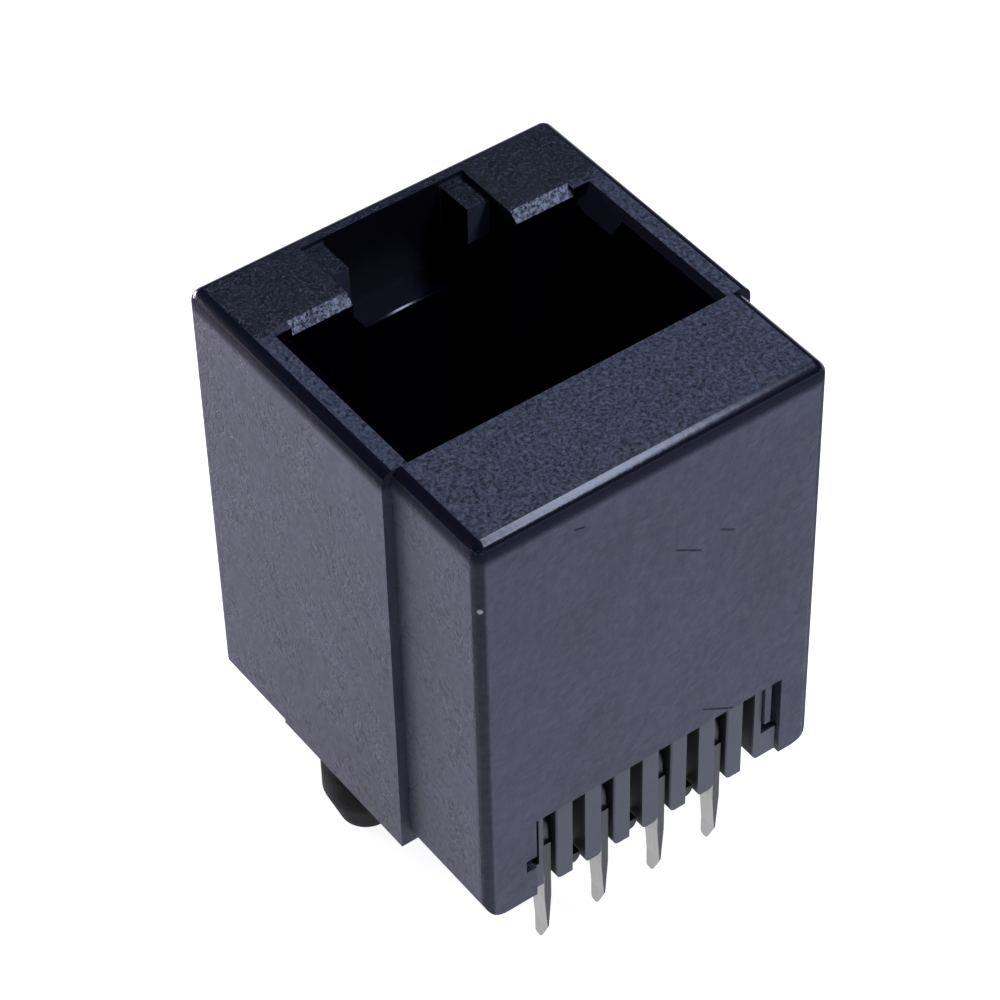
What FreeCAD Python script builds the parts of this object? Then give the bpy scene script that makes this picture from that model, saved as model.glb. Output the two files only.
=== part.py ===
import FreeCAD, Part
import math
import os

# Top entry board jack with eight contacts. Millimetres, Z up.
# Origin: on the board plane, midway between the two board posts. The contact side faces -Y.

# Body
BODY_W = 15.3
BODY_D = 16.2
BODY_H = 18.5
NOSE_INSET = 0.375
NOSE_D = 4.65
TOP_EDGE_R = 0.5
UPRIGHT_EDGE_R = 0.42
NOSE_FOOT_R = 0.9
RELIEF_H = 0.18
RELIEF_D = 4.1

# Plug mouth
MOUTH_HALF_W = 6.35
PAD_HALF_W = 5.92
PAD_D = 2.2
CHANNEL_HALF_W = 3.45
CHANNEL_D = 3.2
CATCH_HALF_W = 2.5
CATCH_D = 1.6
CATCH_DROP = 0.3
CATCH_H = 1.55
REAR_WALL = 0.7
WALL_LEAD = 0.25
PAD_LEAD = 0.68
SHOULDER_LEAD = 0.36
PLUG_DEPTH = 12.4
FLOOR_T = 1.2

# Ledge that the latch rides over on the rear wall
LEDGE_W = 3.6
LEDGE_D = 1.35
LEDGE_DROP = 3.6
LEDGE_EDGE_R = 0.15

# Contact chamber behind the front wall
FRONT_WALL = 0.95
CHAMBER_TOP_GAP = 2.1
SEAT_LIP = 0.4

# Window in the front wall
WINDOW_H = 3.92
NOTCH_LOW = 1.48
NOTCH_HIGH = 2.07
NOTCH_REACH = 0.45
TAB_W = 0.28
SLOT_W = 0.46
TAB_FOOT = 2.0

# Underside
CORE_FRONT_WALL = 0.8
CORE_HALF_W = 6.3
CORE_REAR_WALL = 0.8
POCKET_IN = 4.5
POCKET_OUT = 6.5
POCKET_D = 1.7
POCKET_REAR_WALL = 1.3
POCKET_ROOF = 2.0

# Board posts
POST_SPACING = 11.43
POST_Y = 9.95
POST_R = 1.6
POST_NECK_R = 1.42
POST_BOSS_R = 1.9
POST_NECK_L = 1.0
POST_FLARE_L = 0.35
POST_BAND_L = 1.2
POST_TIP_R = 1.04
POST_L = 4.1
POST_RING_GAP = 0.1
POST_RING_H = 0.15

# Contacts, stamped from sheet and set on edge
CONTACT_COUNT = 8
PITCH = 1.27
BLADE_T = 0.3
SPRING_W = 0.5
TAIL_W = 0.76
FRONT_ROW_Y = 0.66
ROW_SPACING = 2.54
TAIL_L = 3.55
TAIL_FULL_L = 0.9
TAIL_TIP_H = 0.95
TAIL_TIP_BACK = 0.42
TAIL_TIP_T = 0.06
TAIL_TIP_R = 0.13
TAIL_TOP = 2.0
JOG_DROP = 1.32
JOG_ANGLE = 45.0
BEND_R = 0.6
CROSS_DROP = 0.62
HAIRPIN_R = 0.9
HAIRPIN_TOP_GAP = 0.25
HEEL_H = 0.95
HEEL_GAP = 0.63
END_TURN = 40.0
END_R = 1.5
END_L = 0.7

# Contact carrier
TOOTH_RECESS = 0.12
TOOTH_UPRIGHT_R = 0.08
TOOTH_EDGE_R = 0.25
TOOTH_FOOT_R = 0.2
GROOVE_W = 0.56
FRONT_GAP = 0.05
STRIP_GAP = 0.05
CARRIER_SIDE_GAP = 0.1
COMB_TOP_GAP = 0.1
EDGE_WALL = 0.275
EDGE_STRIP_W = 0.195
EDGE_BLOCK_GAP = 0.04
COMB_LOW = 0.0
BASE_LOW = 0.3
BASE_REAR = 7.9
COMB_SLOT_D = 2.0
COMB_REAR_WALL = 0.5
CROWN_STEP = 0.3
FIN_TOP_GAP = 0.18
FIN_H = 3.82
FIN_OVERHANG = 0.75
FIN_CORNER = 0.7
WEB_SETBACK = 0.25
WEB_T = 0.55
WEB_H = 0.45
WEB_R = 0.3
WEB_GAP = 0.06
SIDE_FOOT_LOW = 0.2
SIDE_FOOT_TOP = 1.42
SIDE_FOOT_GAP = 0.12
JOG_CLEAR = 0.12

# Sizes that follow from the ones above
FRONT_Y = -POST_Y
REAR_Y = FRONT_Y + BODY_D
CAVITY_REAR = BODY_D - REAR_WALL
SHOULDER_START = CAVITY_REAR - CHANNEL_D
PAD_START = SHOULDER_START - PAD_D
CATCH_START = CAVITY_REAR - CATCH_D
FLOOR_Z = BODY_H - PLUG_DEPTH
CHAMBER_TOP = BODY_H - CHAMBER_TOP_GAP
RUN_Y = FRONT_WALL + FRONT_GAP + STRIP_GAP + SPRING_W / 2
RUN_BACK = RUN_Y + SPRING_W / 2
PLATE_REAR = RUN_Y + 2 * HAIRPIN_R - SPRING_W / 2
FIN_REAR = PLATE_REAR + FIN_OVERHANG
FIN_TOP = CHAMBER_TOP - FIN_TOP_GAP
FIN_LOW = FIN_TOP - FIN_H
HAIRPIN_Z = CHAMBER_TOP - HAIRPIN_TOP_GAP - HAIRPIN_R - SPRING_W / 2
JOG_Z = WINDOW_H - JOG_DROP
CROSS_Z = WINDOW_H - CROSS_DROP
TOOTH_W = PITCH - GROOVE_W
REAR_ROW_Y = FRONT_ROW_Y + ROW_SPACING
CORE_START = BASE_REAR + SEAT_LIP + CORE_FRONT_WALL
CORE_ROOF = FLOOR_Z - FLOOR_T
POCKET_END = BODY_D - POCKET_REAR_WALL
POCKET_START = POCKET_END - POCKET_D
CARRIER_FRONT = FRONT_WALL + FRONT_GAP
BASE_FRONT = FRONT_ROW_Y + TAIL_W / 2 + STRIP_GAP
BASE_END = BASE_REAR - FRONT_GAP
SLOT_END = BASE_END - COMB_REAR_WALL
EDGE_INNER = (CONTACT_COUNT - 1) / 2 * PITCH + GROOVE_W / 2
CARRIER_HALF_W = EDGE_INNER + EDGE_WALL
CHAMBER_HALF_W = CARRIER_HALF_W + CARRIER_SIDE_GAP
EDGE_BLOCK_OUT = CHAMBER_HALF_W - EDGE_BLOCK_GAP

# How far a cutting shape runs past what it cuts
OVER = 1.0


def depth(from_front):
    """Y of a plane measured from the front face of the body."""
    return FRONT_Y + from_front


def block(x0, x1, y0, y1, z0, z1):
    """Box between two corners, its depths measured from the front face."""
    corner = FreeCAD.Vector(x0, depth(y0), z0)
    return Part.makeBox(x1 - x0, y1 - y0, z1 - z0, corner)


def side_prism(points, x0, x1):
    """Outline given as (depth, height), carried across the width."""
    corners = [FreeCAD.Vector(x0, depth(y), z) for y, z in points]
    face = Part.Face(Part.makePolygon(corners + corners[:1]))
    return face.extrude(FreeCAD.Vector(x1 - x0, 0, 0))


def front_prism(points, y0, y1):
    """Outline given as (x, height), carried from one depth to another."""
    corners = [FreeCAD.Vector(x, depth(y0), z) for x, z in points]
    face = Part.Face(Part.makePolygon(corners + corners[:1]))
    return face.extrude(FreeCAD.Vector(0, y1 - y0, 0))


def plan_prism(points, z0, z1):
    """Outline given as (x, depth), carried from one height to another."""
    corners = [FreeCAD.Vector(x, depth(y), z0) for x, y in points]
    face = Part.Face(Part.makePolygon(corners + corners[:1]))
    return face.extrude(FreeCAD.Vector(0, 0, z1 - z0))


def edges_where(shape, test):
    """Straight edges whose end points both pass the test."""
    return [e for e in shape.Edges if all(test(v.Point) for v in e.Vertexes)]


def near(value, target):
    """True when two lengths are the same plane."""
    return abs(value - target) < 1e-6


def fuse_all(shapes):
    """One solid from many that meet."""
    return shapes[0].fuse(shapes[1:]).removeSplitter()


# Housing

def top_edges(body, open_side):
    """Upper edges of a block, less the one on the plane that joins the other block."""
    level = [e for e in body.Edges if near(e.BoundBox.ZMin, BODY_H) and near(e.BoundBox.ZMax, BODY_H)]
    return [e for e in level if not (near(e.BoundBox.YMin, open_side) and near(e.BoundBox.YMax, open_side))]


def nose_block():
    """Narrower front part with rounded top, sides and lower corners."""
    half = BODY_W / 2 - NOSE_INSET
    rear = NOSE_D + OVER
    body = block(-half, half, 0, rear, 0, BODY_H)
    low = edges_where(body, lambda p: near(p.z, 0))
    low = [e for e in low if near(abs(e.CenterOfMass.x), half)]
    upright = edges_where(body, lambda p: near(p.y, FRONT_Y))
    upright = [e for e in upright if near(abs(e.CenterOfMass.x), half)]
    body = body.makeFillet(NOSE_FOOT_R, low).common(body.makeFillet(UPRIGHT_EDGE_R, upright))
    return body.makeFillet(TOP_EDGE_R, top_edges(body, depth(rear)))


def main_block():
    """Full-width rear part with rounded top and rear edges."""
    half = BODY_W / 2
    body = block(-half, half, NOSE_D, BODY_D, 0, BODY_H)
    upright = edges_where(body, lambda p: near(p.y, REAR_Y))
    upright = [e for e in upright if near(abs(e.CenterOfMass.x), half)]
    body = body.makeFillet(UPRIGHT_EDGE_R, upright)
    return body.makeFillet(TOP_EDGE_R, top_edges(body, depth(NOSE_D)))


def mirrored_outline(points):
    """Closed outline from its right half."""
    left = [(-x, y) for x, y in reversed(points)]
    return points + left


def plug_space():
    """Plug cavity and latch channel, less the two latch catches."""
    half = [
        (MOUTH_HALF_W, NOSE_D),
        (MOUTH_HALF_W, PAD_START),
        (PAD_HALF_W, PAD_START),
        (PAD_HALF_W, SHOULDER_START),
        (CHANNEL_HALF_W, SHOULDER_START),
        (CHANNEL_HALF_W, CAVITY_REAR),
    ]
    space = plan_prism(mirrored_outline(half), FLOOR_Z, BODY_H + OVER)
    top = BODY_H - CATCH_DROP
    for side in (-1, 1):
        x0, x1 = sorted((side * CATCH_HALF_W, side * (CHANNEL_HALF_W + OVER)))
        catch = block(x0, x1, CATCH_START, BODY_D, top - CATCH_H, top)
        space = space.cut(catch)
    return space


def lead_ins():
    """Bevels that open the mouth towards the top."""
    cuts = []
    for side in (-1, 1):
        wall = [
            (side * (MOUTH_HALF_W - OVER), BODY_H - WALL_LEAD),
            (side * MOUTH_HALF_W, BODY_H - WALL_LEAD),
            (side * (MOUTH_HALF_W + WALL_LEAD + OVER), BODY_H + OVER),
            (side * (MOUTH_HALF_W - OVER), BODY_H + OVER),
        ]
        cuts.append(front_prism(wall, NOSE_D, PAD_START))
        pad = [
            (side * (PAD_HALF_W - OVER), BODY_H - PAD_LEAD),
            (side * PAD_HALF_W, BODY_H - PAD_LEAD),
            (side * (PAD_HALF_W + PAD_LEAD + OVER), BODY_H + OVER),
            (side * (PAD_HALF_W - OVER), BODY_H + OVER),
        ]
        cuts.append(front_prism(pad, PAD_START, SHOULDER_START))
    shoulder = [
        (SHOULDER_START - OVER, BODY_H - SHOULDER_LEAD),
        (SHOULDER_START, BODY_H - SHOULDER_LEAD),
        (SHOULDER_START + SHOULDER_LEAD + OVER, BODY_H + OVER),
        (SHOULDER_START - OVER, BODY_H + OVER),
    ]
    cuts.append(side_prism(shoulder, -PAD_HALF_W, PAD_HALF_W))
    return cuts


def latch_ledge():
    """Ledge on the rear wall with a rounded upper edge."""
    half = LEDGE_W / 2
    front = CAVITY_REAR - LEDGE_D
    top = BODY_H - LEDGE_DROP
    ledge = block(-half, half, front, CAVITY_REAR + REAR_WALL / 2, CORE_ROOF, top)
    lip = edges_where(ledge, lambda p: near(p.z, top) and near(p.y, depth(front)))
    return ledge.makeFillet(LEDGE_EDGE_R, lip)


def chamber():
    """Space for the contacts behind the front wall and for the carrier's base below."""
    half = CHAMBER_HALF_W
    upright = block(-half, half, FRONT_WALL, NOSE_D + OVER, 0, CHAMBER_TOP)
    base = block(-half, half, FRONT_WALL, BASE_REAR, 0, FLOOR_Z + OVER)
    lip = block(-half, half, FRONT_WALL, BASE_REAR + SEAT_LIP, 0, CORE_ROOF)
    return [upright, base, lip]


def window():
    """Opening in the front wall with a notch on the left and a tab and slot on the right."""
    left = -CHAMBER_HALF_W
    tab = CHAMBER_HALF_W
    slot = tab + TAB_W
    right = slot + SLOT_W
    outline = [
        (left, -OVER),
        (left, NOTCH_LOW),
        (left - NOTCH_REACH, NOTCH_LOW),
        (left - NOTCH_REACH, NOTCH_HIGH),
        (left, NOTCH_HIGH),
        (left, WINDOW_H),
        (tab, WINDOW_H),
        (tab, TAB_FOOT),
        (slot, TAB_FOOT),
        (slot, WINDOW_H),
        (right, WINDOW_H),
        (right, -OVER),
    ]
    return front_prism(outline, -OVER, FRONT_WALL)


def underside():
    """Cored space under the plug floor and pockets up into the shoulders."""
    end = BODY_D - CORE_REAR_WALL
    cuts = [block(-CORE_HALF_W, CORE_HALF_W, CORE_START, end, -OVER, CORE_ROOF)]
    for side in (-1, 1):
        x0, x1 = sorted((side * POCKET_IN, side * POCKET_OUT))
        cuts.append(block(x0, x1, POCKET_START, POCKET_END, -OVER, BODY_H - POCKET_ROOF))
    cuts.append(block(-BODY_W, BODY_W, BODY_D - RELIEF_D, BODY_D + OVER, -OVER, RELIEF_H))
    return cuts


def post(x):
    """Board post with a neck, a full-size band and a tapered tip, on a boss inside the body."""
    band_top = -POST_NECK_L - POST_FLARE_L
    ring_r = POST_R + POST_RING_GAP
    points = [
        (0, CORE_ROOF + FLOOR_T / 2),
        (POST_BOSS_R, CORE_ROOF + FLOOR_T / 2),
        (POST_BOSS_R, 0),
        (ring_r, 0),
        (ring_r, POST_RING_H),
        (POST_NECK_R, POST_RING_H),
        (POST_NECK_R, -POST_NECK_L),
        (POST_R, band_top),
        (POST_R, band_top - POST_BAND_L),
        (POST_TIP_R, -POST_L),
        (0, -POST_L),
    ]
    corners = [FreeCAD.Vector(x + r, depth(POST_Y), z) for r, z in points]
    face = Part.Face(Part.makePolygon(corners + corners[:1]))
    return face.revolve(FreeCAD.Vector(x, depth(POST_Y), 0), FreeCAD.Vector(0, 0, 1), 360)


def post_ring(x):
    """Shallow space round a post's root that clears the edge of the board's hole."""
    start = FreeCAD.Vector(x, depth(POST_Y), -OVER)
    return Part.makeCylinder(POST_R + POST_RING_GAP, OVER + POST_RING_H, start)


def housing():
    """The body moulding."""
    places = [side * POST_SPACING / 2 for side in (-1, 1)]
    body = fuse_all([nose_block(), main_block()])
    body = body.cut([plug_space()] + lead_ins() + underside() + [post_ring(x) for x in places])
    posts = [post(x) for x in places]
    body = fuse_all([body, latch_ledge()] + posts)
    return body.cut(chamber() + [window()]).removeSplitter()


# Contacts

def contact_x(index):
    """Middle plane of a contact, counted from the left."""
    return (index - (CONTACT_COUNT - 1) / 2) * PITCH


class Path:
    """Centre line of a strip in one upright plane, built from runs and turns."""

    def __init__(self, x, y, z, heading):
        self.x = x
        self.y = y
        self.z = z
        self.heading = heading
        self.edges = []

    def point(self):
        return FreeCAD.Vector(self.x, depth(self.y), self.z)

    def run(self, length):
        start = self.point()
        self.y += length * math.cos(math.radians(self.heading))
        self.z += length * math.sin(math.radians(self.heading))
        self.edges.append(Part.makeLine(start, self.point()))

    def run_to_height(self, z):
        self.run((z - self.z) / math.sin(math.radians(self.heading)))

    def turn(self, angle, radius):
        start = self.point()
        side = math.copysign(1.0, angle)
        to_centre = math.radians(self.heading + side * 90)
        cy = self.y + radius * math.cos(to_centre)
        cz = self.z + radius * math.sin(to_centre)
        points = []
        for share in (0.5, 1.0):
            a = to_centre + math.pi + math.radians(angle * share)
            points.append((cy + radius * math.cos(a), cz + radius * math.sin(a)))
        self.y, self.z = points[-1]
        middle = FreeCAD.Vector(self.x, depth(points[0][0]), points[0][1])
        self.edges.append(Part.Arc(start, middle, self.point()).toShape())
        self.heading += angle


def section(x, y, z):
    """Level outline of the strip round a point."""
    a = BLADE_T / 2
    b = SPRING_W / 2
    corners = [(-a, -b), (a, -b), (a, b), (-a, b)]
    points = [FreeCAD.Vector(x + i, depth(y) + j, z) for i, j in corners]
    return Part.makePolygon(points + points[:1])


def tail(x, y):
    """Flat board tail: thinned towards its tip, which is cut back and rounded on its front."""
    a = BLADE_T / 2
    tip = TAIL_TIP_T / 2
    front = y - TAIL_W / 2
    rear = y + TAIL_W / 2
    tip_top = TAIL_TIP_H - TAIL_L
    side = [
        (front, TAIL_TOP),
        (front, tip_top),
        (front + TAIL_TIP_BACK, -TAIL_L),
        (rear, -TAIL_L),
        (rear, TAIL_TOP),
    ]
    blade = side_prism(side, x - a, x + a)
    across = [e for e in blade.Edges if near(e.CenterOfMass.x, x) and e.CenterOfMass.z < 0]
    blade = blade.makeFillet(TAIL_TIP_R, across)
    outline = [
        (x - a, TAIL_TOP),
        (x - a, -TAIL_FULL_L),
        (x - tip, tip_top),
        (x - tip, -TAIL_L),
        (x + tip, -TAIL_L),
        (x + tip, tip_top),
        (x + a, -TAIL_FULL_L),
        (x + a, TAIL_TOP),
    ]
    return blade.common(front_prism(outline, y - TAIL_W, y + TAIL_W))


def spring(path):
    """Rise, hairpin and slanted spring down to the heel above the plug floor."""
    path.run_to_height(HAIRPIN_Z)
    back = SLOT_END - HEEL_GAP - (path.y + HAIRPIN_R)
    drop = HAIRPIN_Z - FLOOR_Z - HEEL_H
    length = math.sqrt(back ** 2 + drop ** 2 - HAIRPIN_R ** 2)
    slant = math.atan2(back, drop) - math.atan2(HAIRPIN_R, length)
    path.turn(math.degrees(slant) - 180, HAIRPIN_R)
    path.run(length)
    path.turn(-END_TURN, END_R)
    path.run(END_L)


def front_contact(x):
    """Contact with its tail in the front row: a short jog brings it back behind the front wall."""
    path = Path(x, FRONT_ROW_Y, 0, 90)
    path.run_to_height(JOG_Z)
    back = RUN_Y - FRONT_ROW_Y
    turn_back = BEND_R * (1 - math.cos(math.radians(JOG_ANGLE)))
    path.turn(-JOG_ANGLE, BEND_R)
    path.run((back - 2 * turn_back) / math.sin(math.radians(JOG_ANGLE)))
    path.turn(JOG_ANGLE, BEND_R)
    spring(path)
    return path, FRONT_ROW_Y


def rear_contact(x):
    """Contact with its tail in the rear row: it crosses forward below the plug floor."""
    path = Path(x, REAR_ROW_Y, 0, 90)
    path.run_to_height(CROSS_Z - BEND_R)
    path.turn(90, BEND_R)
    path.run(REAR_ROW_Y - RUN_Y - 2 * BEND_R)
    path.turn(-90, BEND_R)
    spring(path)
    return path, REAR_ROW_Y


def contact(index):
    """One formed contact."""
    x = contact_x(index)
    make = front_contact if index % 2 == 0 else rear_contact
    path, row_y = make(x)
    strip = Part.Wire(path.edges).makePipeShell([section(x, row_y, 0)], True, True)
    return fuse_all([strip, tail(x, row_y)])


# Contact carrier

def plate():
    """Upright plate with a rounded top that the contacts wrap round."""
    radius = HAIRPIN_R - SPRING_W / 2 - STRIP_GAP
    middle = RUN_Y + HAIRPIN_R
    half = CARRIER_HALF_W
    slab = block(-half, half, RUN_BACK, middle + radius, FLOOR_Z, HAIRPIN_Z - CROWN_STEP)
    neck = block(-half, half, middle - radius, middle + radius, FLOOR_Z, HAIRPIN_Z)
    start = FreeCAD.Vector(-half, depth(middle), HAIRPIN_Z)
    crown = Part.makeCylinder(radius, 2 * half, start, FreeCAD.Vector(1, 0, 0))
    return [slab, neck, crown]


def fin(x0, x1):
    """Wall between two contacts, from the base over the hairpins."""
    outline = [
        (CARRIER_FRONT, WINDOW_H - COMB_TOP_GAP),
        (CARRIER_FRONT, FIN_TOP - FIN_CORNER),
        (CARRIER_FRONT + FIN_CORNER, FIN_TOP),
        (FIN_REAR - FIN_CORNER, FIN_TOP),
        (FIN_REAR, FIN_TOP - FIN_CORNER),
        (FIN_REAR, FIN_LOW),
        (PLATE_REAR, FIN_LOW - FIN_CORNER),
        (PLATE_REAR, WINDOW_H - COMB_TOP_GAP),
    ]
    return side_prism(outline, x0, x1)


def tooth(x0, x1, low):
    """Front tooth of the comb in the window."""
    return block(x0, x1, TOOTH_RECESS, BASE_FRONT + OVER, low, WINDOW_H - COMB_TOP_GAP)


def low_edges(body, low, sides):
    """Lower edges that run front to back on the named sides."""
    level = edges_where(body, lambda p: near(p.z, low))
    return [e for e in level if any(near(e.CenterOfMass.x, x) for x in sides)]


def wide_tooth(x0, x1):
    """Tooth beside a front-row tail, its lower left corner rounded."""
    body = tooth(x0, x1, COMB_LOW)
    corner = edges_where(body, lambda p: near(p.x, x0) and near(p.y, depth(TOOTH_RECESS)))
    low = low_edges(body, COMB_LOW, [x0])
    return body.makeFillet(TOOTH_UPRIGHT_R, corner).common(body.makeFillet(TOOTH_EDGE_R, low))


def narrow_tooth(x0, x1):
    """Tooth beside a rear-row tail, its lower corners rounded."""
    body = tooth(x0, x1, COMB_LOW)
    return body.makeFillet(TOOTH_FOOT_R, low_edges(body, COMB_LOW, [x0, x1]))


def web(x):
    """Set-back web low in the slot to the right of a wide tooth, with a rounded lower corner."""
    front = TOOTH_RECESS + WEB_SETBACK
    end = x + PITCH - TOOTH_W / 2 - WEB_GAP
    body = block(x, end, front, front + WEB_T, COMB_LOW, COMB_LOW + WEB_H)
    return body.makeFillet(WEB_R, low_edges(body, COMB_LOW, [end]))


def base():
    """Base under the plug floor with the lip that stops against the body."""
    half = CARRIER_HALF_W
    front = block(-half, half, BASE_FRONT, RUN_BACK + OVER, BASE_LOW, WINDOW_H - COMB_TOP_GAP)
    main = block(-half, half, RUN_BACK, BASE_END, BASE_LOW, FLOOR_Z)
    lip = block(-half, half, RUN_BACK, BASE_END + SEAT_LIP, BASE_LOW, CORE_ROOF)
    return [front, main, lip]


def front_slot(x):
    """Space for a front-row contact in front of the base."""
    x0 = x - GROOVE_W / 2
    slope_low = JOG_Z + JOG_CLEAR
    rise = RUN_BACK - BASE_FRONT
    outline = [
        (-OVER, -OVER),
        (BASE_FRONT, -OVER),
        (BASE_FRONT, slope_low),
        (RUN_BACK, slope_low + rise),
        (RUN_BACK, CHAMBER_TOP),
        (-OVER, CHAMBER_TOP),
    ]
    return side_prism(outline, x0, x0 + GROOVE_W)


def rear_slot(x):
    """Deep space for a rear-row contact that crosses under the plate."""
    x0 = x - GROOVE_W / 2
    back = REAR_ROW_Y + TAIL_W / 2 + STRIP_GAP
    roof = CROSS_Z + SPRING_W / 2 + STRIP_GAP
    outline = [
        (-OVER, -OVER),
        (back, -OVER),
        (back, CROSS_Z),
        (REAR_ROW_Y, roof),
        (RUN_Y + BEND_R, roof),
        (RUN_BACK, CROSS_Z + BEND_R + STRIP_GAP),
        (RUN_BACK, CHAMBER_TOP),
        (-OVER, CHAMBER_TOP),
    ]
    return side_prism(outline, x0, x0 + GROOVE_W)


def free_end_slot(x):
    """Slot in the base that keeps a spring's free end in line."""
    x0 = x - GROOVE_W / 2
    return block(x0, x0 + GROOVE_W, PLATE_REAR, SLOT_END, FLOOR_Z - COMB_SLOT_D, FLOOR_Z + OVER)


def comb():
    """Teeth, side strips and outward blocks seen in the window."""
    parts = []
    for index in range(CONTACT_COUNT - 1):
        middle = contact_x(index) + PITCH / 2
        make = wide_tooth if index % 2 == 0 else narrow_tooth
        parts.append(make(middle - TOOTH_W / 2, middle + TOOTH_W / 2))
    inner = EDGE_INNER
    low = SIDE_FOOT_LOW
    parts.append(tooth(-inner - EDGE_STRIP_W, -inner, low))
    parts.append(tooth(inner, EDGE_BLOCK_OUT, SIDE_FOOT_TOP / 2))
    right = CHAMBER_HALF_W + TAB_W + SLOT_W - SIDE_FOOT_GAP
    end = FRONT_WALL - FRONT_GAP
    parts.append(block(-EDGE_BLOCK_OUT, -inner, TOOTH_RECESS, end, low, SIDE_FOOT_TOP))
    side_foot = block(inner, right, TOOTH_RECESS, end, low, SIDE_FOOT_TOP)
    parts.append(side_foot.makeFillet(TOOTH_EDGE_R, low_edges(side_foot, low, [inner])))
    return parts


def webs():
    """Webs of all the slots beside wide teeth but the last."""
    return [web(contact_x(i) + PITCH / 2) for i in range(0, CONTACT_COUNT - 2, 2)]


def fins():
    """Walls between the contacts above the base."""
    parts = []
    for index in range(CONTACT_COUNT - 1):
        middle = contact_x(index) + PITCH / 2
        parts.append(fin(middle - TOOTH_W / 2, middle + TOOTH_W / 2))
    for x0, x1 in ((-CARRIER_HALF_W, -EDGE_INNER), (EDGE_INNER, CARRIER_HALF_W)):
        parts.append(fin(x0, x1))
    return parts


def contact_carrier():
    """The insert that holds the contacts apart."""
    body = fuse_all(base() + plate() + fins() + comb())
    cuts = []
    for index in range(CONTACT_COUNT):
        x = contact_x(index)
        cuts.append(front_slot(x) if index % 2 == 0 else rear_slot(x))
        cuts.append(free_end_slot(x))
    body = body.cut(cuts)
    return fuse_all([body] + webs())


def save(shape, name):
    """Write one piece to its own file."""
    shape.exportStep("parts/" + name + ".step")


def main():
    os.makedirs("parts", exist_ok=True)
    save(housing(), "housing")
    save(contact_carrier(), "contact_carrier")
    for index in range(CONTACT_COUNT):
        save(contact(index), "contact_" + str(index + 1))


main()
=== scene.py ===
import bpy
import math
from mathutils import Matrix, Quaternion, Vector


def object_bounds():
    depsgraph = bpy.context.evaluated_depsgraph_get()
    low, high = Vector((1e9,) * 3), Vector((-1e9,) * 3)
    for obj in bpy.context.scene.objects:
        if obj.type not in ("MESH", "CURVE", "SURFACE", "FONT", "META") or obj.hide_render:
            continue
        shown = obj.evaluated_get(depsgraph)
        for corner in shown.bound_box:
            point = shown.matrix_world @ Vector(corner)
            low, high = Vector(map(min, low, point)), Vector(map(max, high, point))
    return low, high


# Top entry board jack: black moulded body, contact carrier and tin plated contacts.
# X runs along the contacts, -Y is the contact side, Z is up. The board plane is at z = 0.

MM = 0.001

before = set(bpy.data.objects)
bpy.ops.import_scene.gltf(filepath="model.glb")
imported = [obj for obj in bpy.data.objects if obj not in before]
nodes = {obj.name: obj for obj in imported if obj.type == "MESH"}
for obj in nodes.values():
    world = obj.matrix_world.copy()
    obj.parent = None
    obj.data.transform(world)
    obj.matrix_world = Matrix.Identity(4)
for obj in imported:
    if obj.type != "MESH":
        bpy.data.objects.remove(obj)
cad_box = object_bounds()
contacts = [nodes["contact_" + str(i)] for i in range(1, 9)]


# Material tools

def colour(code):
    """Linear colour from an sRGB hex value."""
    parts = [int(code[i : i + 2], 16) / 255 for i in (1, 3, 5)]
    return [p / 12.92 if p <= 0.04045 else ((p + 0.055) / 1.055) ** 2.4 for p in parts] + [1.0]


def add(tree, kind, settings, links):
    """Adds a node. The setting named stops gives the places and colours of a ramp's two ends, and
    links gives each input a value or the output that feeds it."""
    made = tree.nodes.new(kind)
    for name, value in settings.items():
        if name == "stops":
            for end, (position, code) in zip(made.color_ramp.elements, value):
                end.position = position
                end.color = colour(code)
        else:
            setattr(made, name, value)
    for key, value in links.items():
        if isinstance(value, bpy.types.NodeSocket):
            tree.links.new(value, made.inputs[key])
        else:
            made.inputs[key].default_value = value
    return made


def material(name):
    """New material and its empty tree."""
    made = bpy.data.materials.new(name)
    made.use_nodes = True
    made.node_tree.nodes.clear()
    return made, made.node_tree


def grain_size(mm):
    """Noise scale at which one bump of the pattern is this wide."""
    return 1 / (2 * mm * MM)


def inside(tree, value, span, unit=1.0):
    """Mask: one between two levels of a value, nought outside. The span gives both levels and
    over how much of the value the mask fades out beyond them."""
    low, high, fade = [level * unit for level in span]
    rise = add(tree, "ShaderNodeMapRange", {"clamp": True},
               {"Value": value, "From Min": low - fade, "From Max": low, "To Min": 0.0, "To Max": 1.0})
    fall = add(tree, "ShaderNodeMapRange", {"clamp": True},
               {"Value": value, "From Min": high, "From Max": high + fade, "To Min": 1.0, "To Max": 0.0})
    made = add(tree, "ShaderNodeMath", {"operation": "MULTIPLY"},
               {0: rise.outputs["Result"], 1: fall.outputs["Result"]})
    return made.outputs["Value"]


def zone(tree, wanted, barred=()):
    """Mask of where all the wanted masks meet, with each barred one taken out."""
    made = wanted[0]
    for mask in wanted[1:]:
        made = add(tree, "ShaderNodeMath", {"operation": "MULTIPLY"}, {0: made, 1: mask}).outputs["Value"]
    for mask in barred:
        made = add(tree, "ShaderNodeMath", {"operation": "SUBTRACT", "use_clamp": True},
                   {0: made, 1: mask}).outputs["Value"]
    return made


def lay_over(tree, under, layers):
    """Colour with others laid over it in turn, each where its mask is one."""
    for mask, code in layers:
        under = add(tree, "ShaderNodeMix", {"data_type": "RGBA"},
                    {"Factor": mask, "A": under, "B": colour(code)}).outputs["Result"]
    return under


def settle(tree, level, layers):
    """Number that others take the place of in turn, each where its mask is one."""
    for mask, value in layers:
        level = add(tree, "ShaderNodeMix", {"data_type": "FLOAT"},
                    {"Factor": mask, "A": level, "B": value}).outputs["Result"]
    return level


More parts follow.
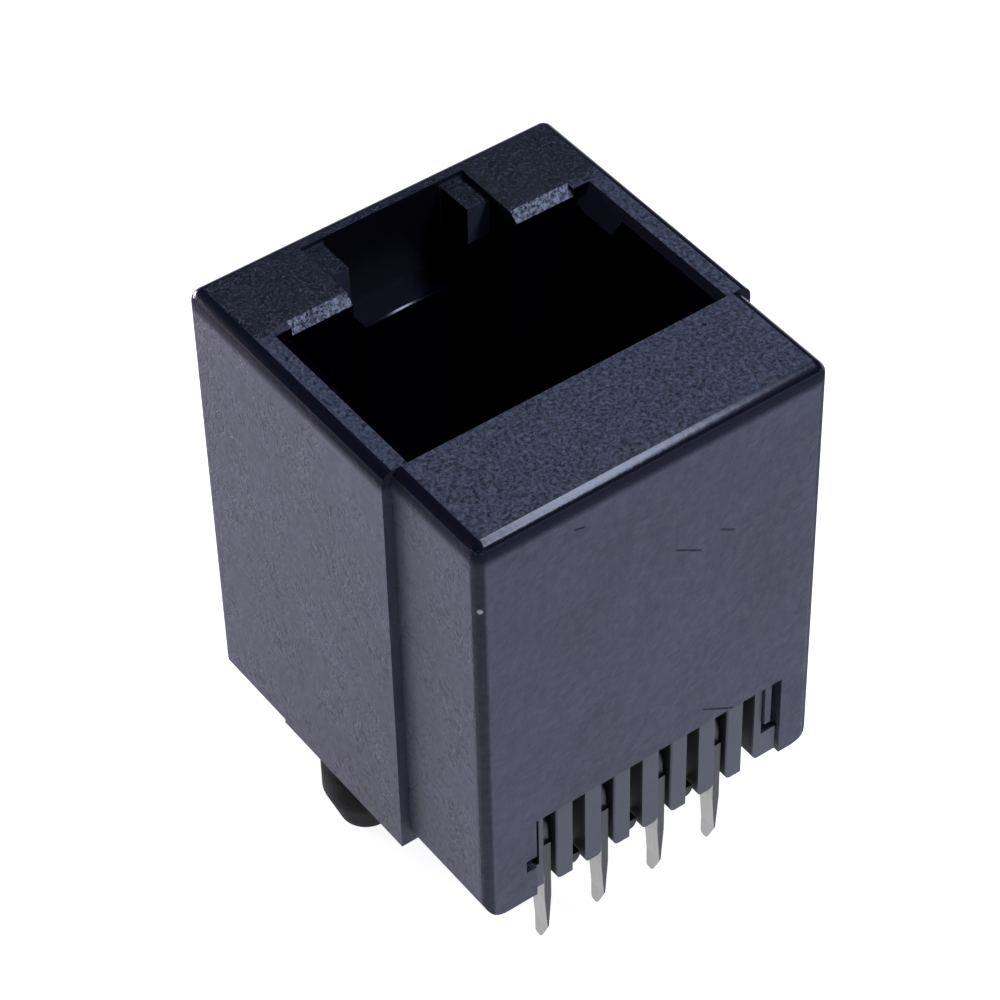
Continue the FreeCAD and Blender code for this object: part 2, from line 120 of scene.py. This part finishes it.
def shade(tree, sockets, relief):
    """Shader with these sockets over a relief, joined to the material's output."""
    bump = add(tree, "ShaderNodeBump", {}, relief)
    shader = add(tree, "ShaderNodeBsdfPrincipled", {}, {**sockets, "Normal": bump.outputs["Normal"]})
    add(tree, "ShaderNodeOutputMaterial", {}, {"Surface": shader.outputs["BSDF"]})


# Moulded body. The mould's outer walls are spark eroded, which leaves a fine pitted grain that
# scatters light; its core, which forms the plug cavity, is polished, and the cavity is painted near
# black as shade.

# Grain patterns: width of a bump in mm, then the noise's detail, roughness and distortion. Real
# spark eroded grain is about 0.05 mm wide; the fine grain is drawn as coarse as it needs to show.
GRAIN = {
    "fine": (0.14, 3.0, 0.6, 0.0),
    "mottle": (0.9, 4.0, 0.65, 0.0),
    "flow": (3.0, 2.0, 0.5, 0.0),
    "pits": (0.07, 4.0, 0.75, 0.5),
    "wrinkles": (0.2, 3.0, 0.7, 1.6),
}

# Where the finishes and the painted shade lie along the axes: from, to, and the width of the
# fade beyond, in mm.
CORE_X = (-6.6, 6.6, 0.05)
CORE_Y = (-5.35, 5.6, 0.05)
CORE_Z = (0.5, 17.7, 0.05)
CORE_WALL_Z = (0.5, 18.45, 0.02)
END_WALL_Y = (4.5, 6.3, 0.1)
CATCH_X = (2.45, 3.5, 0.02)
CATCH_Y = (3.9, 5.6, 0.02)
CATCH_Z = (16.6, 18.3, 0.02)
SHADE_BAND_Z = (17.92, 18.6, 0.3)
POST_Z = (-5.0, -0.02, 0.02)
REAR_Y = (3.0, 9.0, 0.8)
FRONT_Y = (-10.0, -9.9, 0.02)

# Which way a face looks: 1 is along an axis, 0 across it and -1 against it. The corner rows hold
# for the parts of a normal with their signs left out.
SQUARE = (0.9, 1.1, 0.05)
CORNER_X = (0.3, 0.97, 0.2)
CORNER_Y = (0.25, 0.95, 0.2)
CORNER_Z = (-0.1, 0.3, 0.2)
FORWARD = (-1.0, -0.4, 0.1)
SQUARE_FORWARD = (-1.1, -0.9, 0.05)
NOT_LEFT = (-0.5, 1.1, 0.1)
UPRIGHT = (-1.0, 0.3, 0.1)
SLOPING = (0.2, 0.98, 0.02)
ROUNDED = (0.58, 2.0, 0.12)
FACING_UP = (0.995, 2.0, 0.025)

# Fine dark marks on the front wall: middle across and up and length, in mm, and slope in degrees.
# After them come their half width with its fade, and the fade at their ends, in mm.
MARKS = ((-3.17, 17.1, 0.36, 16.2), (3.06, 13.23, 0.65, 31.6), (1.39, 13.27, 1.2, 31.8),
         (3.16, 4.19, 2.1, 31.6))
MARK_Z = (-0.03, 0.03, 0.025)
MARK_END = 0.1

# A speck of chipped grain on the front left upright edge, and the distances from its middle that
# it covers, in mm.
FLECK = (-7.12, -9.86, 15.65)
FLECK_REACH = (-1.0, 0.08, 0.05)

# How much the tops are painted darker towards the rear as shade: the shift in the tone of their
# pits, then how much dark is laid over them.
REAR_SHADE_SHIFT = 0.06
REAR_SHADE = 0.65

# How much wear makes the upright edges and the fine marks matt.
CORNER_WEAR = 0.42
MARK_WEAR = 0.6

# Depth of the relief in mm.
GRAIN_DEPTH = 0.05
WRINKLE_DEPTH = 0.1

# Typical index of refraction of PBT.
PBT_IOR = 1.57


def mark_zone(tree, place, x, z, length, tilt):
    """Mask of one fine mark on the front wall, from its middle, length and slope."""
    turned = add(tree, "ShaderNodeMapping", {"vector_type": "TEXTURE"},
                 {"Vector": place, "Location": (x * MM, 0.0, z * MM),
                  "Rotation": (0.0, math.radians(tilt), 0.0)})
    axes = add(tree, "ShaderNodeSeparateXYZ", {}, {"Vector": turned.outputs["Vector"]}).outputs
    return zone(tree, [inside(tree, axes["X"], (-length / 2, length / 2, MARK_END), MM),
                       inside(tree, axes["Z"], MARK_Z, MM), inside(tree, axes["Y"], FRONT_Y, MM)])


def body_zones(tree, place):
    """Masks of the body's faces and finishes, by name."""
    axes = add(tree, "ShaderNodeSeparateXYZ", {}, {"Vector": place}).outputs
    facing = add(tree, "ShaderNodeNewGeometry", {}, {}).outputs["True Normal"]
    normal = add(tree, "ShaderNodeSeparateXYZ", {}, {"Vector": facing}).outputs
    turn = add(tree, "ShaderNodeVectorMath", {"operation": "ABSOLUTE"}, {0: facing}).outputs["Vector"]
    turn = add(tree, "ShaderNodeSeparateXYZ", {}, {"Vector": turn}).outputs
    width = add(tree, "ShaderNodeMath", {"operation": "ABSOLUTE"}, {0: axes["X"]}).outputs["Value"]

    # Mouth and core. The bevels round the mouth are as glossy as the core and, like it, painted near
    # black as shade, but those on the front of the two pads are painted pale as a highlight over their
    # grain. The latch catches have the grain of the outer walls.
    mouth = zone(tree, [inside(tree, axes["X"], CORE_X, MM), inside(tree, axes["Y"], CORE_Y, MM)])
    top = inside(tree, normal["Z"], FACING_UP)
    slope = inside(tree, normal["Z"], SLOPING)
    bevel = zone(tree, [slope, mouth])
    highlit_bevel = zone(tree, [bevel, inside(tree, normal["Y"], FORWARD)])
    wall = zone(tree, [inside(tree, axes["Z"], CORE_WALL_Z, MM), inside(tree, normal["Z"], UPRIGHT)])
    deep = add(tree, "ShaderNodeMath", {"operation": "MAXIMUM"},
               {0: inside(tree, axes["Z"], CORE_Z, MM), 1: wall}).outputs["Value"]
    catch = zone(tree, [inside(tree, width, CATCH_X, MM), inside(tree, axes["Y"], CATCH_Y, MM),
                        inside(tree, axes["Z"], CATCH_Z, MM), inside(tree, normal["X"], NOT_LEFT)])
    core = add(tree, "ShaderNodeMath", {"operation": "MAXIMUM"},
               {0: zone(tree, [mouth, deep], [catch]), 1: zone(tree, [bevel], [highlit_bevel])}).outputs["Value"]
    end_wall = zone(tree, [core, inside(tree, normal["Y"], SQUARE_FORWARD),
                           inside(tree, axes["Y"], END_WALL_Y, MM)])
    grained = add(tree, "ShaderNodeMath", {"operation": "MAXIMUM"}, {0: top, 1: bevel}).outputs["Value"]

    # Outside: side and rear walls, rounded top edges with a matt strip below them that is painted
    # dark as shade, upright edges. The rounding and the upright edges are painted dark as shade too.
    flank = add(tree, "ShaderNodeMath", {"operation": "MAXIMUM"},
                {0: inside(tree, turn["X"], SQUARE),
                 1: inside(tree, normal["Y"], SQUARE)}).outputs["Value"]
    rounding = zone(tree, [zone(tree, [slope], [mouth]), inside(tree, normal["Z"], ROUNDED)])
    band = zone(tree, [inside(tree, axes["Z"], SHADE_BAND_Z, MM)], [mouth, top])
    gap = add(tree, "ShaderNodeVectorMath", {"operation": "DISTANCE"},
              {0: place, 1: [part * MM for part in FLECK]}).outputs["Value"]
    fleck = inside(tree, gap, FLECK_REACH, MM)
    corner = zone(tree, [inside(tree, turn["X"], CORNER_X), inside(tree, turn["Y"], CORNER_Y),
                         inside(tree, turn["Z"], CORNER_Z)], [fleck])
    marks = 0.0
    for mark in MARKS:
        marks = add(tree, "ShaderNodeMath", {"operation": "MAXIMUM"},
                    {0: marks, 1: mark_zone(tree, place, *mark)}).outputs["Value"]

    return {"core": core, "end_wall": end_wall, "highlit_bevel": highlit_bevel, "grained": grained, "flank": flank,
            "rounding": rounding, "band": band, "fleck": fleck, "corner": corner, "marks": marks,
            "post": inside(tree, axes["Z"], POST_Z, MM), "rear": inside(tree, axes["Y"], REAR_Y, MM)}


def body_grain(tree, place):
    """The body's noise patterns by name, and the patches in which its wrinkles are strong."""
    made = {}
    for name, (width, detail, roughness, distortion) in GRAIN.items():
        made[name] = add(tree, "ShaderNodeTexNoise", {},
                         {"Vector": place, "Scale": grain_size(width), "Detail": detail,
                          "Roughness": roughness, "Distortion": distortion}).outputs["Fac"]
    made["patch"] = add(tree, "ShaderNodeMapRange", {"clamp": True},
                        {"Value": made["mottle"], "From Min": 0.4, "From Max": 0.58,
                         "To Min": 0.2, "To Max": 1.0}).outputs["Result"]
    return made


def body_colour(tree, on, grain):
    """Blue grey walls whose wrinkles are painted dark as shade in their creases; speckled tops with
    painted shade in the pits and painted highlight on the crests, painted darker towards the rear as
    shade; pale painted highlight on the pads' front bevels; and painted shade that makes the upright
    edges, the strip under the top edges, the rounding and the posts dark and the core black.
    """
    tone = add(tree, "ShaderNodeMix", {"data_type": "FLOAT"},
               {"Factor": 0.5, "A": grain["mottle"], "B": grain["flow"]}).outputs["Result"]
    side = add(tree, "ShaderNodeValToRGB", {"stops": ((0.35, "#3f3f50"), (0.65, "#545366"))},
               {"Fac": tone}).outputs["Color"]
    # The creases of the wrinkles on the side walls are painted dark as shade.
    crease_shade = add(tree, "ShaderNodeMapRange", {"clamp": True},
                {"Value": grain["wrinkles"], "From Min": 0.38, "From Max": 0.5,
                 "To Min": 1.0, "To Max": 0.0}).outputs["Result"]
    side = lay_over(tree, side, ((zone(tree, [crease_shade, on["flank"], grain["patch"]]), "#22222e"),
                                 (on["fleck"], "#f4f4fa"), (on["marks"], "#1c1c2c")))

    # Painted shade: the tops are made darker towards the rear.
    shaded_pits = add(tree, "ShaderNodeMath", {"operation": "MULTIPLY_ADD"},
               {0: on["rear"], 1: -REAR_SHADE_SHIFT, 2: grain["pits"]}).outputs["Value"]
    # Over the grain's own tone, the pits of the tops are painted dark as shade and their crests pale as
    # highlight.
    crest = add(tree, "ShaderNodeValToRGB", {"stops": ((0.4, "#090b15"), (0.66, "#6c7384"))},
                {"Fac": shaded_pits}).outputs["Color"]
    crest = lay_over(tree, crest, ((zone(tree, [on["rear"], REAR_SHADE]), "#090b16"),))
    # The bevels on the front of the pads are painted pale as a highlight over their pits.
    bevel_highlight = add(tree, "ShaderNodeValToRGB", {"stops": ((0.42, "#161826"), (0.62, "#b8bac8"))},
               {"Fac": grain["pits"]}).outputs["Color"]
    crest = add(tree, "ShaderNodeMix", {"data_type": "RGBA"},
                {"Factor": on["highlit_bevel"], "A": crest, "B": bevel_highlight}).outputs["Result"]
    skin = add(tree, "ShaderNodeMix", {"data_type": "RGBA"},
               {"Factor": on["grained"], "A": side, "B": crest}).outputs["Result"]
    # Painted shade: the upright edges, the strip under the top edges, the rounding and the posts are
    # painted dark, and the core near black.
    return lay_over(tree, skin, ((on["corner"], "#10122a"), (on["band"], "#1a1a2e"),
                                 (on["rounding"], "#0c0b1e"), (on["post"], "#06050c"),
                                 (on["core"], "#020110")))


def body_roughness(tree, on, grain):
    """Matt walls, posts and shaded strip under the top edges, satin tops, and a glossy rounding and core
    but for its end wall.
    """
    walls = add(tree, "ShaderNodeMapRange", {"clamp": True},
                {"Value": grain["fine"], "From Min": 0.3, "From Max": 0.7,
                 "To Min": 0.55, "To Max": 0.68}).outputs["Result"]
    tops = add(tree, "ShaderNodeMapRange", {"clamp": True},
               {"Value": on["rear"], "To Min": 0.32, "To Max": 0.2}).outputs["Result"]
    matt = on["band"]
    for part, wear in ((on["corner"], CORNER_WEAR), (on["marks"], MARK_WEAR)):
        matt = add(tree, "ShaderNodeMath", {"operation": "MAXIMUM"},
                   {0: matt, 1: zone(tree, [part, wear])}).outputs["Value"]
    return settle(tree, walls, ((on["grained"], tops), (matt, 1.0), (on["rounding"], 0.2),
                                (on["post"], 1.0), (on["core"], 0.15), (on["end_wall"], 0.5)))


def body_relief(tree, on, grain):
    """Wrinkles on the side walls, pits on the tops, and next to nothing on the rounding and core."""
    carved = add(tree, "ShaderNodeMath", {"operation": "MAXIMUM"},
                 {0: on["grained"], 1: on["flank"]}).outputs["Value"]
    strength = add(tree, "ShaderNodeMapRange", {"clamp": True},
                   {"Value": carved, "To Min": 0.8, "To Max": 1.0}).outputs["Result"]
    strength = settle(tree, strength, ((on["flank"], grain["patch"]), (on["rounding"], 0.1),
                                       (on["core"], 0.02)))
    height = settle(tree, grain["fine"], ((on["flank"], grain["wrinkles"]),
                                          (on["grained"], grain["pits"])))
    depth = add(tree, "ShaderNodeMapRange", {"clamp": True},
                {"Value": zone(tree, [on["flank"]], [on["grained"]]),
                 "To Min": GRAIN_DEPTH * MM, "To Max": WRINKLE_DEPTH * MM}).outputs["Result"]
    return {"Strength": strength, "Distance": depth, "Height": height}


def spark_eroded_black():
    """Black PBT from a spark eroded mould with a polished core."""
    made, tree = material("pbt_black_spark_eroded")
    place = add(tree, "ShaderNodeTexCoord", {}, {}).outputs["Object"]
    on = body_zones(tree, place)
    grain = body_grain(tree, place)
    shade(tree, {"Base Color": body_colour(tree, on, grain), "Roughness": body_roughness(tree, on, grain),
                 "IOR": PBT_IOR}, body_relief(tree, on, grain))
    return made


# Contact carrier: width of its grain and of its patches of tone, depth of its relief, and where
# its slots, painted near black as shade, lie behind the faces of the teeth, all in mm.

CARRIER_GRAIN = 0.12
CARRIER_MOTTLE = 0.8
CARRIER_DEPTH = 0.03
SLOT_Y = (-9.72, 0.0, 0.06)


def satin_black():
    """Black PBT moulded with a satin skin, smoother than the body, so its teeth look even. Behind
    the faces of the teeth, in the slots, it is painted nearly black as shade."""
    made, tree = material("pbt_black_satin")
    place = add(tree, "ShaderNodeTexCoord", {}, {}).outputs["Object"]
    fine = add(tree, "ShaderNodeTexNoise", {},
               {"Vector": place, "Scale": grain_size(CARRIER_GRAIN), "Detail": 3.0,
                "Roughness": 0.6}).outputs["Fac"]
    mottle = add(tree, "ShaderNodeTexNoise", {},
                 {"Vector": place, "Scale": grain_size(CARRIER_MOTTLE)}).outputs["Fac"]
    tone = add(tree, "ShaderNodeValToRGB", {"stops": ((0.0, "#3c3d4b"), (1.0, "#4c4d5c"))},
               {"Fac": mottle}).outputs["Color"]
    back = add(tree, "ShaderNodeSeparateXYZ", {}, {"Vector": place}).outputs["Y"]
    # The slots behind the teeth are painted near black as shade.
    slot_shade = inside(tree, back, SLOT_Y, MM)
    rough = add(tree, "ShaderNodeMapRange", {"clamp": True},
                {"Value": fine, "To Min": 0.42, "To Max": 0.55}).outputs["Result"]
    shade(tree, {"Base Color": lay_over(tree, tone, ((slot_shade, "#030207"),)),
                 "Roughness": settle(tree, rough, ((slot_shade, 0.6),)), "IOR": PBT_IOR},
          {"Strength": 0.15, "Distance": CARRIER_DEPTH * MM, "Height": fine})
    return made


# Contacts: width and depth of the drawn lines in mm, and how they are stretched upright. Real ones
# are finer than 0.01 mm; these are drawn as coarse as they need to show.

LINE_WIDTH = 0.05
LINE_DEPTH = 0.01
LINE_STRETCH = (1.0, 1.0, 0.08)
CUT_EDGE_ROUGHNESS = 0.35


def bright_tin():
    """Strip stamped from tinned phosphor bronze: bright rolled faces with fine drawn lines, and cut
    edges painted near black as shade, so each tail shows a pale side beside a dark one."""
    made, tree = material("tinned_phosphor_bronze_stamped")
    place = add(tree, "ShaderNodeTexCoord", {}, {}).outputs["Object"]
    facing = add(tree, "ShaderNodeNewGeometry", {}, {}).outputs["Normal"]
    across = add(tree, "ShaderNodeSeparateXYZ", {}, {"Vector": facing}).outputs["X"]
    across = add(tree, "ShaderNodeMath", {"operation": "ABSOLUTE"}, {0: across}).outputs["Value"]
    rolled = add(tree, "ShaderNodeMapRange", {"clamp": True},
                 {"Value": across, "From Min": 0.35, "From Max": 0.75}).outputs["Result"]
    drawn = add(tree, "ShaderNodeMapping", {}, {"Vector": place, "Scale": LINE_STRETCH})
    lines = add(tree, "ShaderNodeTexNoise", {},
                {"Vector": drawn.outputs["Vector"], "Scale": grain_size(LINE_WIDTH)}).outputs["Fac"]
    tone = add(tree, "ShaderNodeValToRGB", {"stops": ((0.0, "#8f8e8c"), (1.0, "#aaa9a6"))},
               {"Fac": lines}).outputs["Color"]
    # The cut edges are painted near black as shade.
    skin = add(tree, "ShaderNodeMix", {"data_type": "RGBA"},
               {"Factor": rolled, "A": colour("#0c0b12"), "B": tone}).outputs["Result"]
    rough = add(tree, "ShaderNodeMapRange", {"clamp": True},
                {"Value": lines, "To Min": 0.24, "To Max": 0.4}).outputs["Result"]
    shade(tree, {"Base Color": skin, "Metallic": rolled,
                 "Roughness": settle(tree, CUT_EDGE_ROUGHNESS, ((rolled, rough),))},
          {"Strength": 0.1, "Distance": LINE_DEPTH * MM, "Height": lines})
    return made


# Finish of each piece: points nearer than the gap, in mm, are joined, and edges that turn by more
# than the angle, in degrees, get the small radius.

WELD_GAP = 0.0005
SHARP_EDGE = 35


def dress(piece, finish, edge_mm):
    """Gives a piece its finish and the small radius that its edges have."""
    piece.data.materials.clear()
    piece.data.materials.append(finish)
    weld = piece.modifiers.new("weld", "WELD")
    weld.merge_threshold = WELD_GAP * MM
    round_off = piece.modifiers.new("edge_radius", "BEVEL")
    round_off.width = edge_mm * MM
    round_off.segments = 2
    round_off.limit_method = "ANGLE"
    round_off.angle_limit = math.radians(SHARP_EDGE)
    round_off.harden_normals = True


dress(nodes["housing"], spark_eroded_black(), 0.05)
dress(nodes["contact_carrier"], satin_black(), 0.03)
tin = bright_tin()
for strip in contacts:
    dress(strip, tin, 0.02)


# Floor, light and camera: half the floor's width and the width of its fibres in mm, how far the
# paper is lifted to white, and how steeply a ray falls where a reflection sees the room white.

FLOOR_HALF = 3000
PAPER_FIBRE = 0.5
PAPER_LIFT = 0.9
BELOW_HORIZON = (-1.1, -0.05, 0.05)


def seen_rays(tree):
    """One for rays that show the background: from the camera, in a reflection or through glass."""
    path = add(tree, "ShaderNodeLightPath", {}, {}).outputs
    seen = path["Is Camera Ray"]
    for kind in ("Is Glossy Ray", "Is Transmission Ray"):
        seen = add(tree, "ShaderNodeMath", {"operation": "MAXIMUM"},
                   {0: seen, 1: path[kind]}).outputs["Value"]
    return seen


def studio_white():
    """Matt white paper; it shows the object's shadow and is lifted to white where it is seen."""
    made, tree = material("paper_white_matt")
    place = add(tree, "ShaderNodeTexCoord", {}, {}).outputs["Object"]
    fibre = add(tree, "ShaderNodeTexNoise", {},
                {"Vector": place, "Scale": grain_size(PAPER_FIBRE)}).outputs["Fac"]
    tone = add(tree, "ShaderNodeValToRGB", {"stops": ((0.0, "#eeeeee"), (1.0, "#f4f4f4"))},
               {"Fac": fibre}).outputs["Color"]
    paper = add(tree, "ShaderNodeBsdfDiffuse", {}, {"Color": tone})
    lift = add(tree, "ShaderNodeMath", {"operation": "MULTIPLY"}, {0: seen_rays(tree), 1: PAPER_LIFT})
    glow = add(tree, "ShaderNodeEmission", {}, {"Strength": lift.outputs["Value"]})
    lifted = add(tree, "ShaderNodeAddShader", {}, {0: paper.outputs["BSDF"], 1: glow.outputs["Emission"]})
    add(tree, "ShaderNodeOutputMaterial", {}, {"Surface": lifted.outputs["Shader"]})
    return made


def floor():
    """Wide flat sheet under the posts."""
    half = FLOOR_HALF * MM
    low = cad_box[0].z
    mesh = bpy.data.meshes.new("floor")
    corners = [(-half, -half, low), (half, -half, low), (half, half, low), (-half, half, low)]
    mesh.from_pydata(corners, [], [(0, 1, 2, 3)])
    made = bpy.data.objects.new("floor", mesh)
    made.data.materials.append(studio_white())
    bpy.context.scene.collection.objects.link(made)


def towards(place_mm, aim_mm):
    """Turn that points a lamp or camera from its place to an aim point."""
    return (Vector(aim_mm) - Vector(place_mm)).to_track_quat("-Z", "Y")


def put(made, place_mm, turn):
    """Puts a lamp or camera into the scene at a place and turn."""
    made.location = Vector(place_mm) * MM
    made.rotation_mode = "QUATERNION"
    made.rotation_quaternion = turn
    bpy.context.scene.collection.objects.link(made)


def softbox(name, place_mm, aim_mm, size_mm, watts, tint):
    """Soft light at a place, turned to an aim point; its size is given across and along."""
    lamp = bpy.data.lights.new(name, "AREA")
    lamp.shape = "RECTANGLE"
    lamp.size = size_mm[0] * MM
    lamp.size_y = size_mm[1] * MM
    lamp.energy = watts
    lamp.color = colour(tint)[:3]
    put(bpy.data.objects.new(name, lamp), place_mm, towards(place_mm, aim_mm))


def room_light(strength):
    """Even dim surround. The camera sees it white, and a reflection sees it white below the horizon
    and dark above."""
    world = bpy.data.worlds.new("room")
    bpy.context.scene.world = world
    world.use_nodes = True
    tree = world.node_tree
    tree.nodes.clear()
    way = add(tree, "ShaderNodeTexCoord", {}, {}).outputs["Generated"]
    rise = add(tree, "ShaderNodeSeparateXYZ", {}, {"Vector": way}).outputs["Z"]
    direct = add(tree, "ShaderNodeLightPath", {}, {}).outputs["Is Camera Ray"]
    backdrop = zone(tree, [seen_rays(tree), inside(tree, rise, BELOW_HORIZON)])
    backdrop = add(tree, "ShaderNodeMath", {"operation": "MAXIMUM"},
                   {0: direct, 1: backdrop}).outputs["Value"]
    tint = lay_over(tree, colour("#c4d0ff"), ((backdrop, "#ffffff"),))
    glow = add(tree, "ShaderNodeBackground", {},
               {"Color": tint, "Strength": settle(tree, strength, ((backdrop, 1.0),))})
    add(tree, "ShaderNodeOutputWorld", {}, {"Surface": glow.outputs["Background"]})


def camera(place_mm, aim_mm, lens, roll):
    """Camera at the photograph's place and angle."""
    data = bpy.data.cameras.new("camera")
    data.lens = lens
    data.sensor_width = 36
    data.clip_start = 10 * MM
    data.clip_end = 10000 * MM
    made = bpy.data.objects.new("camera", data)
    put(made, place_mm, towards(place_mm, aim_mm) @ Quaternion((0, 0, 1), math.radians(roll)))
    bpy.context.scene.camera = made


floor()
room_light(0.1)
softbox("overhead", (75, -60, 182), (0, -60, 18), (220, 36), 0.26, "#d4e0ff")
softbox("left_fill", (-86, 213, 14), (0, 0, 8), (120, 70), 0.78, "#faeeff")
softbox("front_fill", (60, -240, 10), (0, 0, 8), (160, 160), 0.02, "#c4ccff")
camera((-53.176, -76.088, 100.841), (-0.249, -1.443, 9.913), 131.98, -1.494)

bpy.context.scene.view_settings.view_transform = "Standard"
